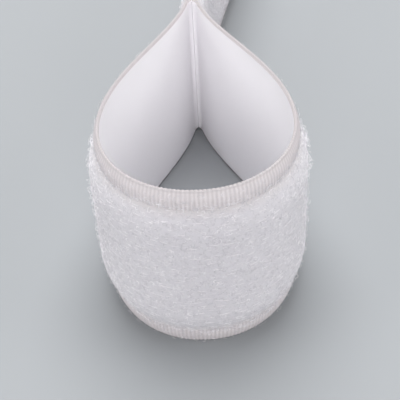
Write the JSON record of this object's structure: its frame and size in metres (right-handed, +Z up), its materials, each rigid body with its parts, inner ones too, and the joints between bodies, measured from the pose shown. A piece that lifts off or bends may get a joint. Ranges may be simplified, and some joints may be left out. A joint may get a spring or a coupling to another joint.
{
  "type": "hook and loop tape",
  "caption": "Cut length of soft white loop tape for hook and loop fastening, folded into a teardrop with its tails back to back, standing on its edge.",
  "frame": {"origin": "under the middle of the part's box, on the surface that it stands on", "axes": "+Z up across the tape's width, +Y from the front of the teardrop to the tails, +X to the right seen from the front"},
  "size_m": [0.0294, 0.1158, 0.025],
  "materials": {
    "resin_back": "satin resin film over the weave",
    "woven_nylon": "close plain weave",
    "selvedge": "fine cross ribs with a slight lustre",
    "loop_nap": "napped curly loops"
  },
  "bodies": {
    "teardrop": {"teardrop_back_coating": "resin_back", "teardrop_ground_weave": "woven_nylon", "teardrop_lower_selvedge": "selvedge", "teardrop_upper_selvedge": "selvedge", "teardrop_pile": "loop_nap"},
    "left_tail": {"left_tail_back_coating": "resin_back", "left_tail_ground_weave": "woven_nylon", "left_tail_lower_selvedge": "selvedge", "left_tail_upper_selvedge": "selvedge", "left_tail_pile": "loop_nap"},
    "right_tail": {"right_tail_back_coating": "resin_back", "right_tail_ground_weave": "woven_nylon", "right_tail_lower_selvedge": "selvedge", "right_tail_upper_selvedge": "selvedge", "right_tail_pile": "loop_nap"}
  },
  "joints": [
    {"name": "left_tail_flex", "type": "hinge", "parent": "teardrop", "child": "left_tail", "pos_m": [-0.0005, -0.00149, 0.0125], "axis": [0, 0, 1], "range_deg": [0, 30], "stiffness_Nm_per_rad": 0.003},
    {"name": "right_tail_flex", "type": "hinge", "parent": "teardrop", "child": "right_tail", "pos_m": [0.0005, -0.00149, 0.0125], "axis": [0, 0, -1], "range_deg": [0, 30], "stiffness_Nm_per_rad": 0.003}
  ]
}
